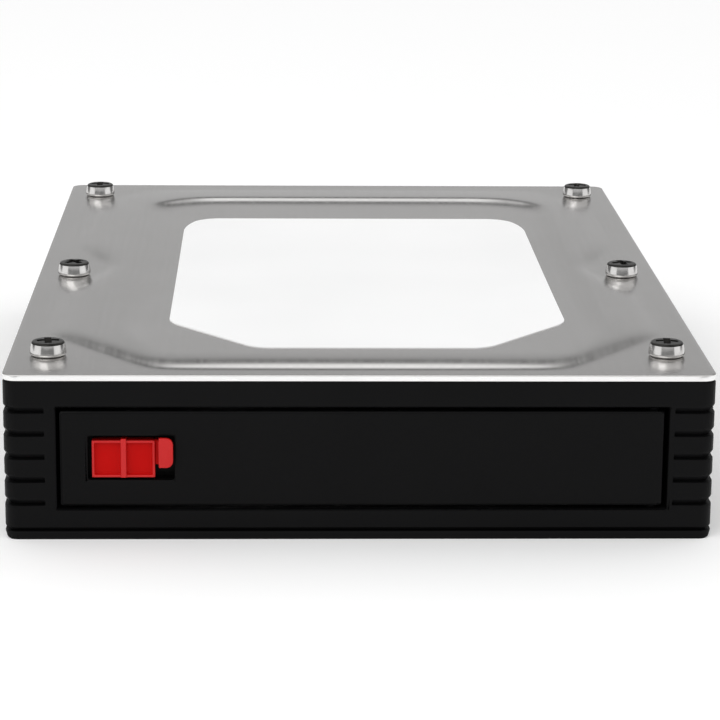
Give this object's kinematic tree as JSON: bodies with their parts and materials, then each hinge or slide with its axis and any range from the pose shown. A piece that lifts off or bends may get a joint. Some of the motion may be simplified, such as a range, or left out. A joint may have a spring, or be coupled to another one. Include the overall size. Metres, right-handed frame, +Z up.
{
  "type": "drive bay adapter",
  "caption": "Tray with a stamped metal lid, hinged front door and sliding latch that holds a small drive in the space and mounting holes of a full-width drive.",
  "frame": {"origin": "under the middle of the whole part, on the plane it rests on", "axes": "+X right seen from the front, +Y from the door to the rear connector, +Z up"},
  "size_m": [0.1016, 0.147, 0.0261],
  "materials": {
    "black_plastic": "fine moulded grain, satin",
    "red_plastic": "smooth moulded",
    "lid_steel": "bare rolled sheet, stamped",
    "screw_steel": "bright plated",
    "label_film": "white film sticker, bare",
    "board_laminate": "solder mask",
    "contact_gold": "plated",
    "insert_brass": "turned",
    "ceramic": "fired ceramic"
  },
  "bodies": {
    "chassis": {"base_tray": "black_plastic", "front_bezel": "black_plastic", "left_drive_rail": "black_plastic", "right_drive_rail": "black_plastic", "drive_receptacle": "black_plastic", "host_plug": "black_plastic", "top_cover": "lid_steel", "cover_screws": "screw_steel", "bezel_screws": "screw_steel", "board_screws": "screw_steel", "hinge_pin": "screw_steel", "cover_label": "label_film", "adapter_board": "board_laminate", "receptacle_contacts": "contact_gold", "plug_contacts": "contact_gold", "side_inserts": "insert_brass", "bottom_inserts": "insert_brass", "board_capacitors": "ceramic"},
    "door": {"front_door": "black_plastic", "latch_retainer": "black_plastic"},
    "latch": {"latch_slider": "red_plastic"}
  },
  "joints": [
    {"name": "door_hinge", "type": "hinge", "parent": "chassis", "child": "door", "pos_m": [0.04195, -0.0711, 0.012], "axis": [0, 0, 1], "range_deg": [0, 100]},
    {"name": "latch_slide", "type": "slide", "parent": "door", "child": "latch", "axis": [1, 0, 0], "range_m": [0, 0.0019]}
  ]
}
